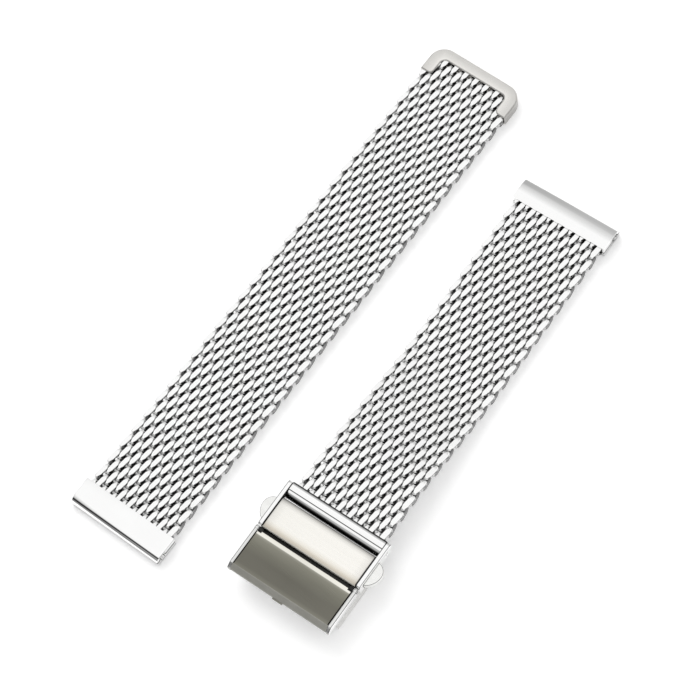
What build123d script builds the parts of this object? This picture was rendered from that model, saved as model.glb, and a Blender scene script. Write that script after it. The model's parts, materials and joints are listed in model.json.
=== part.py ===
from build123d import *
import os
from math import asin, cos, degrees, hypot, radians, sin

# Milanese mesh band for a watch with 22 mm lugs, laid down as two separate halves.
# The long half has an end piece, the mesh and a U-shaped tip cap.
# The short half has an end piece, the mesh, a ferrule and the folding clasp.
# All sizes are in millimetres. Z is up and both halves lie on the plane Z = 0.
# Each half is modelled in a frame of its own, with Y along the band and X across it.

# Fit to the watch
LUG_WIDTH = 22.0
SPRING_BAR_HOLE_RADIUS = 0.95

# Woven mesh, as counts of coils in each length that bends as one
MESH_WIDTH = 20.8
MESH_THICKNESS = 2.4
COIL_PITCH = 1.92
COIL_CREST_INSET = 0.5
COIL_VALLEY_DEPTH = 0.35
EDGE_LOOP_DEPTH = 0.3
BEND_GAP = 0.3
WEAVE_GAP_SPACING = 10.4
WEAVE_GAP_WIDTH = 0.7
WEAVE_GAP_LENGTH = 0.9
LONG_COILS = (6, 6, 6, 6, 6, 6, 6, 6, 6, 6)
SHORT_COILS = (6, 6, 6, 6, 7, 8)

# End pieces that take the watch's spring bars
END_DEPTH = 5.7
END_THICKNESS = 3.2
END_SEAT = 1.8
END_BORE_INSET = 1.75
END_BORE_HEIGHT = 1.5
END_UNDER_RADIUS = 0.5
END_NOSE_RUN = 2.5
END_NOSE_TURN = 50.0
END_SEAM = 0.2

# Tip cap of the long half
CAP_SIDE_WALL = 0.25
CAP_END_WALL = 1.7
CAP_BAR = 2.5
CAP_ARM_LENGTH = 6.8
CAP_ARM_WIDTH = 2.7
CAP_OUTER_RADIUS = 3.4
CAP_INNER_RADIUS = 1.1
CAP_EDGE_BEVEL = 0.25

# Clasp as a whole
CLASP_OVERHANG = 1.65
CLASP_LENGTH = 21.0
CLASP_TOP = 7.2
SIDE_CLEARANCE = 0.1
FIT_CLEARANCE = 0.05

# Clasp cover
CHEEK_THICKNESS = 0.9
CHEEK_BOTTOM = 4.35
CHEEK_ROUND = 0.9
REAR_WALL_THICKNESS = 0.9
REAR_WALL_TOP = 6.35
REAR_WALL_START = 1.45
DECK_BOTTOM = 5.2
DECK_THICKNESS = 0.6
DECK_START = 2.2

# Panel on the cover
PANEL_LENGTH = 7.0
PANEL_GAP = 0.45
PANEL_THICKNESS = 0.7
PANEL_CROWN = 0.15
PANEL_ROUND = 0.3

# Flip-lock
FLIP_THICKNESS = 0.65
FLIP_AXIS_GAP = 0.65
FLIP_AXIS_DROP = 0.55
FLIP_EAR_REACH = 0.3
FLIP_PIN_RADIUS = 0.3
FLIP_BEVEL_RUN = 1.1
FLIP_BEVEL_DROP = 0.9
FLIP_END_WALL = 0.5
FLIP_END_BOTTOM = 5.55
FLIP_FLANGE_THICKNESS = 0.7
FLIP_FLANGE_BOTTOM = 4.6
FLIP_FLANGE_STEP = 0.15
FLIP_ROLL = 0.45
FLIP_LIP_WIDTH = 2.4
FLIP_LIP_REACH = 0.3

# Ferrule of the short half and the spring bar it turns on
FERRULE_LENGTH = 3.3
FERRULE_RADIUS = 1.5
FERRULE_STEP = 0.1
FERRULE_SEAT = 0.9
FERRULE_AXIS_Z = 5.5
FERRULE_BEVEL = 0.3
BAR_TUBE_RADIUS = 0.65
BAR_TIP_RADIUS = 0.4
BAR_TIP_LENGTH = 4.0

# Folding leaves
LEAF_THICKNESS = 0.7
LEAF_GAP = 0.15
LEAF_NECK_GAP = 0.35
KNUCKLE_RADIUS = 0.7
KNUCKLE_WALL = 0.75
LEAF_PIN_RADIUS = 0.35
COVER_HINGE_Y = 1.3
COVER_HINGE_Z = 4.7
LEAF_HINGE_GAP = 1.9
LEAF_HINGE_Z = 4.27
CENTRE_KNUCKLE = 11.8

# Channel and clamp lever that hold the long half
CHANNEL_START = 2.9
CHANNEL_END_GAP = 0.9
CHANNEL_SIDE_GAP = 0.4
RAIL_THICKNESS = 0.7
LEVER_THICKNESS = 0.7
LEVER_AXIS_INSET = 1.4
LEVER_KNUCKLE_RADIUS = 0.5
LEVER_PIN_RADIUS = 0.25
LEVER_START = 3.4
LEVER_LIP_REACH = 0.9
LEVER_LIP_WIDTH = 8.0
TOOTH_COUNT = 3
TOOTH_PITCH = 1.2
TOOTH_HEIGHT = 0.35
TOOTH_WIDTH = 0.5

# Push buttons and the catch posts they bear on
BUTTON_GAP = 0.9
BUTTON_LENGTH = 5.3
BUTTON_BOTTOM = 4.5
BUTTON_HEIGHT = 1.7
BUTTON_REACH = 2.0
BUTTON_CREST = 3.1
BUTTON_TRAVEL = 0.8
BUTTON_SHOULDER = 0.45
BUTTON_SHOULDER_LIP = 0.15
POST_THICKNESS = 0.6
POST_LENGTH = 1.8
POST_TOP = 6.1

# Lie of the short half beside the long half
SHORT_SHIFT_X = 36.25
SHORT_SHIFT_Y = 7.05
SHORT_TURN = 1.66
# Downward slope of the first lengths of mesh from the clasp; the next one makes up the rest
CLASP_SLOPES = (0.0, 9.0, 9.0)

# Sizes that follow from the ones above
long_length = END_DEPTH + sum(LONG_COILS) * COIL_PITCH + CAP_END_WALL
half_mesh = MESH_THICKNESS / 2
mesh_level = END_THICKNESS / 2
cap_width = MESH_WIDTH + 2 * (CAP_SIDE_WALL + FIT_CLEARANCE)
cheek_outer = MESH_WIDTH / 2 + CLASP_OVERHANG
cheek_inner = cheek_outer - CHEEK_THICKNESS
flange_inner = cheek_outer - FLIP_FLANGE_THICKNESS
rear_outer = flange_inner - SIDE_CLEARANCE
rear_inner = rear_outer - REAR_WALL_THICKNESS
ferrule_start = CLASP_LENGTH - FERRULE_LENGTH
ferrule_axis_y = ferrule_start + FERRULE_RADIUS
panel_end = ferrule_start - PANEL_GAP
panel_start = panel_end - PANEL_LENGTH
cheek_start = panel_start - FIT_CLEARANCE
deck_top = DECK_BOTTOM + DECK_THICKNESS
deck_end = ferrule_start - 2 * SIDE_CLEARANCE
flip_axis_y = cheek_start - FLIP_AXIS_GAP
flip_axis_z = CLASP_TOP - FLIP_AXIS_DROP
flip_length = flip_axis_y - FLIP_EAR_REACH
leaf_top = DECK_BOTTOM - LEAF_GAP
leaf_bottom = leaf_top - LEAF_THICKNESS
roof_top = leaf_bottom - LEAF_GAP
channel_top = roof_top - LEAF_THICKNESS
leaf_hinge_y = ferrule_start - LEAF_HINGE_GAP
roof_end = leaf_hinge_y - KNUCKLE_RADIUS - SIDE_CLEARANCE
channel_end = ferrule_start - CHANNEL_END_GAP
channel_half = MESH_WIDTH / 2 + CHANNEL_SIDE_GAP
rail_outer = channel_half + RAIL_THICKNESS
lever_axis_y = channel_end - LEVER_AXIS_INSET
button_end = ferrule_start - BUTTON_GAP
button_start = button_end - BUTTON_LENGTH
shoulder_outer = cheek_inner - FIT_CLEARANCE
shoulder_inner = shoulder_outer - BUTTON_SHOULDER
pressed_inner = shoulder_inner - BUTTON_TRAVEL
post_outer = pressed_inner - SIDE_CLEARANCE
post_inner = post_outer - POST_THICKNESS
post_end = roof_end
post_start = post_end - POST_LENGTH
post_swing = hypot(leaf_hinge_y - post_start, POST_TOP - LEAF_HINGE_Z)
leaf_half = pressed_inner - SIDE_CLEARANCE
leaf_shoulder = leaf_hinge_y - post_swing - SIDE_CLEARANCE
neck_half = post_inner - LEAF_NECK_GAP
slot_start = button_start - BUTTON_SHOULDER_LIP - SIDE_CLEARANCE
slot_end = button_end + BUTTON_SHOULDER_LIP + SIDE_CLEARANCE


def coil_outline(coils, crest, valley, head, tail):
    """One side of a run of coils, a crest of flattened wire for each with a valley between."""
    points = [] if head is None else [(-head, crest)]
    for coil in range(coils):
        start = coil * COIL_PITCH
        if coil > 0:
            points.append((start, valley))
        points.append((start + COIL_CREST_INSET, crest))
        points.append((start + COIL_PITCH - COIL_CREST_INSET, crest))
    if tail is not None:
        points.append((coils * COIL_PITCH + tail, crest))
    return points


def weave_gaps(coils):
    """Places of the gaps in a run of coils, a pair in each valley, staggered from one to the next."""
    places = []
    for valley in range(1, coils):
        shift = WEAVE_GAP_SPACING / 4 * (-1) ** valley
        for side in (-1, 1):
            places.append((shift + side * WEAVE_GAP_SPACING / 2, valley * COIL_PITCH))
    return places


def mesh_length(coils, head=None, tail=None):
    """A length of mesh about its mid-plane, from Y = 0.

    Head and tail are how far an end runs into its fitting. An end without one comes to the
    blunt V that lets it bend against the next length.
    """
    end = coils * COIL_PITCH
    top = coil_outline(coils, half_mesh, half_mesh - COIL_VALLEY_DEPTH, head, tail)
    side = top + ([(end - BEND_GAP / 2, 0)] if tail is None else [])
    side += [(y, -z) for y, z in reversed(top)]
    side += [(BEND_GAP / 2, 0)] if head is None else []
    wide = MESH_WIDTH / 2
    narrow = wide - EDGE_LOOP_DEPTH
    edge = [(0, narrow)] if head is None else []
    edge += coil_outline(coils, wide, narrow, head, tail)
    edge += [(end, narrow)] if tail is None else []
    plan = [(x, y) for y, x in edge] + [(-x, y) for y, x in reversed(edge)]
    with BuildPart() as mesh:
        with BuildSketch(Plane.YZ):
            with BuildLine():
                Polyline(*side, close=True)
            make_face()
        extrude(amount=wide, both=True)
        with BuildSketch(Plane.XY.offset(-half_mesh)):
            with BuildLine():
                Polyline(*plan, close=True)
            make_face()
        extrude(amount=MESH_THICKNESS, mode=Mode.INTERSECT)
        # Wedge-shaped gaps of the weave in the valleys between coils, a coarse grid of the real ones
        with BuildSketch(Plane.XY.offset(-half_mesh)):
            with Locations(*weave_gaps(coils)):
                Polygon(
                    (-WEAVE_GAP_WIDTH / 2, -WEAVE_GAP_LENGTH / 2),
                    (WEAVE_GAP_WIDTH / 2, -WEAVE_GAP_LENGTH / 2),
                    (0, WEAVE_GAP_LENGTH / 2),
                    align=None,
                )
        extrude(amount=MESH_THICKNESS, mode=Mode.SUBTRACT)
    return mesh.part


def end_piece():
    """Folded end piece with its nose at Y = 0 and the mesh entering at the other side."""
    # The nose stands upright below, then turns over to the flat top on a widening curve
    rise = END_THICKNESS - END_BORE_HEIGHT
    turned = sin(radians(END_NOSE_TURN))
    left = cos(radians(END_NOSE_TURN))
    wide_radius = (END_NOSE_RUN * turned - rise * (1 - left)) / (turned + left - 1)
    tight_radius = (END_NOSE_RUN - wide_radius * left) / (1 - left)
    with BuildPart() as piece:
        with BuildSketch(Plane.YZ):
            with BuildLine():
                under = JernArc((END_UNDER_RADIUS, 0), (-1, 0), END_UNDER_RADIUS, -90)
                front = Line(under @ 1, (0, END_BORE_HEIGHT))
                tight = JernArc(front @ 1, front % 1, tight_radius, -END_NOSE_TURN)
                wide = JernArc(tight @ 1, tight % 1, wide_radius, END_NOSE_TURN - 90)
                Polyline(
                    wide @ 1,
                    (END_DEPTH, END_THICKNESS),
                    (END_DEPTH, 0),
                    (END_UNDER_RADIUS, 0),
                )
            make_face()
        extrude(amount=LUG_WIDTH / 2, both=True)
        # Bore for the watch's spring bar
        with BuildSketch(Plane.YZ):
            with Locations((END_BORE_INSET, END_BORE_HEIGHT)):
                Circle(SPRING_BAR_HOLE_RADIUS)
        extrude(amount=LUG_WIDTH / 2, both=True, mode=Mode.SUBTRACT)
        # Pocket that the mesh is crimped into
        with BuildSketch(Plane.XZ.offset(-END_DEPTH)):
            with Locations((0, mesh_level)):
                Rectangle(MESH_WIDTH + 2 * FIT_CLEARANCE, MESH_THICKNESS)
        extrude(amount=END_SEAT, mode=Mode.SUBTRACT)
        # Seam of the folded sheet on the underside
        with BuildSketch(Plane.YZ):
            with Locations((END_DEPTH - END_SEAT, 0)):
                Rectangle(END_SEAM, 2 * END_SEAM)
        extrude(amount=LUG_WIDTH / 2, both=True, mode=Mode.SUBTRACT)
    return piece.part


def tip_cap():
    """U-shaped cap folded over the free end of the long half."""
    opening = cap_width - 2 * CAP_ARM_WIDTH
    with BuildPart() as cap:
        with BuildSketch() as plan:
            with Locations((0, long_length)):
                Rectangle(cap_width, CAP_ARM_LENGTH, align=(Align.CENTER, Align.MAX))
            with Locations((0, long_length - CAP_BAR)):
                Rectangle(
                    opening,
                    CAP_ARM_LENGTH,
                    align=(Align.CENTER, Align.MAX),
                    mode=Mode.SUBTRACT,
                )
            rows = plan.vertices().group_by(Axis.Y)
            arm_ends = rows[0].filter_by(lambda v: abs(v.X) < opening / 2 + SIDE_CLEARANCE)
            fillet(rows[1] + arm_ends, CAP_INNER_RADIUS)
            fillet(plan.vertices().group_by(Axis.Y)[-1], CAP_OUTER_RADIUS)
        extrude(amount=END_THICKNESS)
        rims = cap.faces().sort_by(Axis.Z)
        chamfer(rims[0].edges() + rims[-1].edges(), CAP_EDGE_BEVEL)
        # Pocket for the mesh, open towards the band
        with BuildSketch(Plane.XY.offset(mesh_level - half_mesh)):
            with Locations((0, long_length - CAP_END_WALL)):
                Rectangle(
                    MESH_WIDTH + 2 * FIT_CLEARANCE,
                    CAP_ARM_LENGTH,
                    align=(Align.CENTER, Align.MAX),
                )
        extrude(amount=MESH_THICKNESS, mode=Mode.SUBTRACT)
    return cap.part


def ferrule():
    """Ferrule that holds the short half's mesh and turns on the clasp's spring bar."""
    top = FERRULE_AXIS_Z + FERRULE_RADIUS + FERRULE_STEP
    bottom = FERRULE_AXIS_Z - FERRULE_RADIUS
    half_width = cheek_inner - SIDE_CLEARANCE
    with BuildPart() as piece:
        with BuildSketch(Plane.YZ):
            with BuildLine():
                ThreePointArc(
                    (ferrule_axis_y, top - FERRULE_STEP),
                    (ferrule_start, FERRULE_AXIS_Z),
                    (ferrule_axis_y, bottom),
                )
                Polyline(
                    (ferrule_axis_y, bottom),
                    (CLASP_LENGTH, bottom),
                    (CLASP_LENGTH, top - FERRULE_BEVEL),
                    (CLASP_LENGTH - FERRULE_BEVEL, top),
                    (ferrule_axis_y, top),
                    (ferrule_axis_y, top - FERRULE_STEP),
                )
            make_face()
            with Locations((ferrule_axis_y, FERRULE_AXIS_Z)):
                Circle(BAR_TUBE_RADIUS + FIT_CLEARANCE, mode=Mode.SUBTRACT)
        extrude(amount=half_width, both=True)
        with BuildSketch(Plane.XZ.offset(-CLASP_LENGTH)):
            with Locations((0, FERRULE_AXIS_Z)):
                Rectangle(MESH_WIDTH + 2 * FIT_CLEARANCE, MESH_THICKNESS)
        extrude(amount=FERRULE_SEAT, mode=Mode.SUBTRACT)
    return piece.part


def spring_bar_tube():
    """Tube of the clasp's spring bar, open at both ends for the tips."""
    with BuildPart() as tube:
        with BuildSketch(Plane.YZ):
            with Locations((ferrule_axis_y, FERRULE_AXIS_Z)):
                Circle(BAR_TUBE_RADIUS)
                Circle(BAR_TIP_RADIUS + FIT_CLEARANCE, mode=Mode.SUBTRACT)
        extrude(amount=cheek_inner - SIDE_CLEARANCE, both=True)
    return tube.part


def pin(y, z, radius, start, end):
    """Round pin along X, from one X to another."""
    with BuildPart() as rod:
        with BuildSketch(Plane.YZ.offset(start)):
            with Locations((y, z)):
                Circle(radius)
        extrude(amount=end - start)
    return rod.part


def clasp_cover():
    """Cover of the clasp: deck, rear walls, and the two cheeks that carry bar and buttons."""
    with BuildPart() as cover:
        # Cheek, rounded at the corner over the ferrule
        with BuildSketch(Plane.YZ.offset(cheek_inner)) as cheek:
            with BuildLine():
                Polyline(
                    (cheek_start, CHEEK_BOTTOM),
                    (CLASP_LENGTH, CHEEK_BOTTOM),
                    (CLASP_LENGTH, CLASP_TOP),
                    (cheek_start, CLASP_TOP),
                    close=True,
                )
            make_face()
            fillet(cheek.vertices().group_by(Axis.Y)[-1], CHEEK_ROUND)
        extrude(amount=CHEEK_THICKNESS)
        # Rear wall under the flip-lock, with the leaf hinge's lug and the flip-lock's ear
        with BuildSketch(Plane.YZ.offset(rear_inner)):
            with Locations((REAR_WALL_START, CHEEK_BOTTOM)):
                Rectangle(
                    slot_start - REAR_WALL_START,
                    REAR_WALL_TOP - CHEEK_BOTTOM,
                    align=(Align.MIN, Align.MIN),
                )
            with Locations((COVER_HINGE_Y, COVER_HINGE_Z)):
                Circle(KNUCKLE_WALL)
            with Locations((flip_axis_y, flip_axis_z)):
                Circle(FLIP_AXIS_DROP)
        extrude(amount=REAR_WALL_THICKNESS)
        # Deck
        with BuildSketch(Plane.XY.offset(DECK_BOTTOM)):
            with Locations((0, DECK_START)):
                Rectangle(rear_inner, cheek_start - DECK_START, align=(Align.MIN, Align.MIN))
            with Locations((0, cheek_start)):
                Rectangle(cheek_inner, deck_end - cheek_start, align=(Align.MIN, Align.MIN))
        extrude(amount=DECK_THICKNESS)
        # Slot through the deck for the catch post and the button's shoulder
        with BuildSketch(Plane.XY.offset(DECK_BOTTOM)):
            with Locations((neck_half, slot_start)):
                Rectangle(
                    cheek_inner - neck_half,
                    slot_end - slot_start,
                    align=(Align.MIN, Align.MIN),
                )
        extrude(amount=DECK_THICKNESS, mode=Mode.SUBTRACT)
        # Window in the cheek for the button
        with BuildSketch(Plane.YZ.offset(cheek_inner)):
            with Locations((button_start + BUTTON_LENGTH / 2, BUTTON_BOTTOM + BUTTON_HEIGHT / 2)):
                Rectangle(
                    BUTTON_LENGTH + 2 * SIDE_CLEARANCE,
                    BUTTON_HEIGHT + 2 * SIDE_CLEARANCE,
                )
            with Locations((ferrule_axis_y, FERRULE_AXIS_Z)):
                Circle(BAR_TIP_RADIUS + FIT_CLEARANCE)
        extrude(amount=CHEEK_THICKNESS, mode=Mode.SUBTRACT)
        # Pin holes of the rear wall
        with BuildSketch(Plane.YZ.offset(rear_inner)):
            with Locations((COVER_HINGE_Y, COVER_HINGE_Z)):
                Circle(LEAF_PIN_RADIUS + FIT_CLEARANCE)
            with Locations((flip_axis_y, flip_axis_z)):
                Circle(FLIP_PIN_RADIUS)
        extrude(amount=REAR_WALL_THICKNESS, mode=Mode.SUBTRACT)
        mirror(about=Plane.YZ)
    return cover.part


def cover_panel():
    """Crowned panel between the cheeks, turned down to the deck at both ends."""
    shoulder = CLASP_TOP - PANEL_CROWN
    half_width = cheek_inner - SIDE_CLEARANCE
    leg_half = pressed_inner - SIDE_CLEARANCE
    with BuildPart() as panel:
        with BuildSketch(Plane.YZ) as outline:
            with BuildLine():
                Line((panel_start, deck_top), (panel_start, shoulder))
                ThreePointArc(
                    (panel_start, shoulder),
                    ((panel_start + panel_end) / 2, CLASP_TOP),
                    (panel_end, shoulder),
                )
                Polyline(
                    (panel_end, shoulder),
                    (panel_end, deck_top),
                    (panel_start, deck_top),
                )
            make_face()
            fillet(outline.vertices().group_by(Axis.Y)[0].sort_by(Axis.Z)[-1], PANEL_ROUND)
            fillet(outline.vertices().group_by(Axis.Y)[-1].sort_by(Axis.Z)[-1], PANEL_ROUND)
        extrude(amount=half_width, both=True)
        # Hollow between the turned-down ends
        with BuildSketch(Plane.YZ):
            with Locations((panel_start + PANEL_THICKNESS, deck_top)):
                Rectangle(
                    PANEL_LENGTH - 2 * PANEL_THICKNESS,
                    shoulder - PANEL_THICKNESS - deck_top,
                    align=(Align.MIN, Align.MIN),
                )
        extrude(amount=half_width, both=True, mode=Mode.SUBTRACT)
        # The turned-down ends stop short of the buttons
        with BuildSketch(Plane.XY.offset(deck_top)):
            with Locations((leg_half, panel_start), (-half_width, panel_start)):
                Rectangle(half_width - leg_half, PANEL_LENGTH, align=(Align.MIN, Align.MIN))
        extrude(amount=shoulder - PANEL_THICKNESS - deck_top, mode=Mode.SUBTRACT)
    return panel.part


def flip_lock():
    """Safety cover hinged at the middle of the clasp, with flanges down both sides."""
    underside = CLASP_TOP - FLIP_THICKNESS
    bevel_foot = CLASP_TOP - FLIP_BEVEL_DROP
    with BuildPart() as flip:
        with BuildSketch(Plane.YZ) as section:
            with BuildLine():
                Polyline(
                    (0, FLIP_END_BOTTOM),
                    (0, bevel_foot),
                    (FLIP_BEVEL_RUN, CLASP_TOP),
                    (flip_length, CLASP_TOP),
                    (flip_length, underside),
                    (FLIP_BEVEL_RUN + FLIP_END_WALL / 2, underside),
                    (FLIP_END_WALL, bevel_foot - FLIP_END_WALL / 2),
                    (FLIP_END_WALL, FLIP_END_BOTTOM),
                    close=True,
                )
            make_face()
            rolled = section.vertices().group_by(Axis.Y)[-1].sort_by(Axis.Z)[-1]
            fillet(rolled, FLIP_ROLL)
        extrude(amount=flange_inner)
        # Flange and its hinge ear, a step lower than the plate
        with BuildSketch(Plane.YZ.offset(flange_inner)):
            with BuildLine():
                Polyline(
                    (0, FLIP_FLANGE_BOTTOM + FLIP_END_WALL),
                    (FLIP_END_WALL, FLIP_FLANGE_BOTTOM),
                    (flip_length - FLIP_ROLL, FLIP_FLANGE_BOTTOM),
                    (flip_axis_y, flip_axis_z),
                    (flip_axis_y, CLASP_TOP - FLIP_FLANGE_STEP),
                    (FLIP_BEVEL_RUN, CLASP_TOP - FLIP_FLANGE_STEP),
                    (0, bevel_foot - FLIP_FLANGE_STEP),
                    close=True,
                )
            make_face()
            with Locations((flip_axis_y, flip_axis_z)):
                Circle(FLIP_AXIS_DROP)
                Circle(FLIP_PIN_RADIUS + FIT_CLEARANCE, mode=Mode.SUBTRACT)
        extrude(amount=FLIP_FLANGE_THICKNESS)
        # Notch beside the flange for the cover's ear
        ear_reach = FLIP_AXIS_DROP + SIDE_CLEARANCE
        with BuildSketch(Plane.XY.offset(underside)):
            with Locations((rear_inner - SIDE_CLEARANCE, flip_axis_y - ear_reach)):
                Rectangle(
                    flange_inner - rear_inner + SIDE_CLEARANCE,
                    2 * ear_reach,
                    align=(Align.MIN, Align.MIN),
                )
        extrude(amount=FLIP_THICKNESS, mode=Mode.SUBTRACT)
        # Half of the nail lip at the middle of the free end
        with BuildSketch(Plane.XY.offset(FLIP_END_BOTTOM)):
            with Locations((0, FLIP_END_WALL)):
                Rectangle(
                    FLIP_LIP_WIDTH / 2,
                    FLIP_END_WALL + FLIP_LIP_REACH,
                    align=(Align.MIN, Align.MAX),
                )
        extrude(amount=FLIP_LIP_REACH)
        mirror(about=Plane.YZ)
    return flip.part


def middle_leaf():
    """Leaf between the cover and the base, with a barrel at one end and two knuckles at the other."""
    leaf_centre = (leaf_top + leaf_bottom) / 2
    with BuildPart() as leaf:
        with BuildSketch(Plane.XY.offset(leaf_bottom)):
            with Locations((0, COVER_HINGE_Y)):
                Rectangle(
                    leaf_half,
                    leaf_shoulder - COVER_HINGE_Y,
                    align=(Align.MIN, Align.MIN),
                )
                Rectangle(
                    neck_half,
                    leaf_hinge_y - COVER_HINGE_Y,
                    align=(Align.MIN, Align.MIN),
                )
            # Room for the base's centre knuckle
            with Locations((0, roof_end)):
                Rectangle(
                    CENTRE_KNUCKLE / 2 + SIDE_CLEARANCE,
                    leaf_hinge_y - roof_end,
                    align=(Align.MIN, Align.MIN),
                    mode=Mode.SUBTRACT,
                )
        extrude(amount=LEAF_THICKNESS)
        with BuildSketch(Plane.YZ):
            with Locations((COVER_HINGE_Y, leaf_centre)):
                Circle(KNUCKLE_RADIUS)
        extrude(amount=leaf_half)
        with BuildSketch(Plane.YZ.offset(CENTRE_KNUCKLE / 2 + SIDE_CLEARANCE)):
            with Locations((leaf_hinge_y, LEAF_HINGE_Z)):
                Circle(KNUCKLE_RADIUS)
        extrude(amount=neck_half - CENTRE_KNUCKLE / 2 - SIDE_CLEARANCE)
        with BuildSketch(Plane.YZ):
            with Locations((COVER_HINGE_Y, COVER_HINGE_Z), (leaf_hinge_y, LEAF_HINGE_Z)):
                Circle(LEAF_PIN_RADIUS + FIT_CLEARANCE)
        extrude(amount=leaf_half, mode=Mode.SUBTRACT)
        mirror(about=Plane.YZ)
    return leaf.part


def base_leaf():
    """Lower leaf: roof and rails of the channel that the long half runs through, and the catch posts."""
    with BuildPart() as base:
        with BuildSketch(Plane.XY.offset(channel_top)):
            with Locations((0, CHANNEL_START)):
                Rectangle(rail_outer, roof_end - CHANNEL_START, align=(Align.MIN, Align.MIN))
            with Locations((0, roof_end)):
                Rectangle(
                    CENTRE_KNUCKLE / 2,
                    leaf_hinge_y - roof_end,
                    align=(Align.MIN, Align.MIN),
                )
        extrude(amount=LEAF_THICKNESS)
        with BuildSketch(Plane.YZ):
            with Locations((leaf_hinge_y, LEAF_HINGE_Z)):
                Circle(KNUCKLE_RADIUS)
        extrude(amount=CENTRE_KNUCKLE / 2)
        with BuildSketch(Plane.YZ):
            with Locations((leaf_hinge_y, LEAF_HINGE_Z)):
                Circle(LEAF_PIN_RADIUS + FIT_CLEARANCE)
        extrude(amount=CENTRE_KNUCKLE / 2, mode=Mode.SUBTRACT)
        # Rail, with the hole for the lever's pin
        with BuildSketch(Plane.YZ.offset(channel_half)):
            with Locations((CHANNEL_START, 0)):
                Rectangle(
                    channel_end - CHANNEL_START,
                    channel_top,
                    align=(Align.MIN, Align.MIN),
                )
            with Locations((lever_axis_y, LEVER_KNUCKLE_RADIUS)):
                Circle(LEVER_PIN_RADIUS + FIT_CLEARANCE, mode=Mode.SUBTRACT)
        extrude(amount=RAIL_THICKNESS)
        # Catch post
        with BuildSketch(Plane.XY.offset(roof_top)):
            with Locations((post_inner, post_start)):
                Rectangle(POST_THICKNESS, POST_LENGTH, align=(Align.MIN, Align.MIN))
        extrude(amount=POST_TOP - roof_top)
        mirror(about=Plane.YZ)
    return base.part


def clamp_lever():
    """Toothed lever under the channel that grips the long half where it has been slid to."""
    half_width = channel_half - SIDE_CLEARANCE
    with BuildPart() as lever:
        with BuildSketch(Plane.YZ):
            with Locations((LEVER_START, 0)):
                Rectangle(
                    lever_axis_y - LEVER_START,
                    LEVER_THICKNESS,
                    align=(Align.MIN, Align.MIN),
                )
            with Locations((lever_axis_y, LEVER_KNUCKLE_RADIUS)):
                Circle(LEVER_KNUCKLE_RADIUS)
                Circle(LEVER_PIN_RADIUS + FIT_CLEARANCE, mode=Mode.SUBTRACT)
            # Teeth
            for tooth in range(TOOTH_COUNT):
                foot = LEVER_START + (tooth + 1) * TOOTH_PITCH
                with BuildLine():
                    Polyline(
                        (foot - TOOTH_WIDTH / 2, LEVER_THICKNESS),
                        (foot + TOOTH_WIDTH / 2, LEVER_THICKNESS),
                        (foot, LEVER_THICKNESS + TOOTH_HEIGHT),
                        close=True,
                    )
                make_face()
        extrude(amount=half_width, both=True)
        # Lip that a fingernail lifts
        with BuildSketch():
            with Locations((0, LEVER_START)):
                Rectangle(
                    LEVER_LIP_WIDTH,
                    LEVER_LIP_REACH,
                    align=(Align.CENTER, Align.MAX),
                )
        extrude(amount=LEVER_THICKNESS / 2)
    return lever.part


def button():
    """Right push button: an ear with a curved edge, and the shoulder that keeps it in the cheek."""
    foot = cheek_outer + SIDE_CLEARANCE
    crest = (cheek_outer + BUTTON_REACH, button_start + BUTTON_CREST)
    with BuildPart() as ear:
        with BuildSketch(Plane.XY.offset(BUTTON_BOTTOM)):
            with BuildLine():
                Polyline(
                    (foot, button_end),
                    (shoulder_inner, button_end),
                    (shoulder_inner, button_start),
                    (foot, button_start),
                )
                TangentArc(crest, (foot, button_start), tangent=(0, -1))
                TangentArc(crest, (foot, button_end), tangent=(0, 1))
            make_face()
            with Locations((shoulder_inner, button_start - BUTTON_SHOULDER_LIP)):
                Rectangle(
                    BUTTON_SHOULDER,
                    BUTTON_LENGTH + 2 * BUTTON_SHOULDER_LIP,
                    align=(Align.MIN, Align.MIN),
                )
        extrude(amount=BUTTON_HEIGHT)
    return ear.part


def lay(piece, y=0.0, z=0.0, tilt=0.0, turn=0.0):
    """Move a piece along its half, tilted about X or turned about Z."""
    return piece.moved(Location((0, y, z), (tilt, 0, turn)))


# Long half, from the watch end to the tip
long_half = {"long_end_piece": end_piece()}
reach = END_DEPTH
for number, coils in enumerate(LONG_COILS, start=1):
    length = mesh_length(
        coils,
        head=END_SEAT if number == 1 else None,
        tail=0.0 if number == len(LONG_COILS) else None,
    )
    long_half[f"long_mesh_{number}"] = lay(length, reach, mesh_level)
    reach += coils * COIL_PITCH
long_half["tip_cap"] = tip_cap()

# Short half, from the clasp to the watch end, with the mesh sloping down from the ferrule
short_half = {}
reach = CLASP_LENGTH
level = FERRULE_AXIS_Z
last = len(SHORT_COILS)
for index, coils in enumerate(SHORT_COILS):
    run = coils * COIL_PITCH
    if index < len(CLASP_SLOPES):
        slope = CLASP_SLOPES[index]
    else:
        slope = degrees(asin((level - mesh_level) / run))
    length = mesh_length(
        coils,
        head=FERRULE_SEAT if index == 0 else None,
        tail=END_SEAT if index == last - 1 else None,
    )
    short_half[f"short_mesh_{last - index}"] = lay(length, reach, level, tilt=-slope)
    reach += run * cos(radians(slope))
    level -= run * sin(radians(slope))
short_half["short_end_piece"] = lay(end_piece(), reach + END_DEPTH, turn=180)

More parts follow.
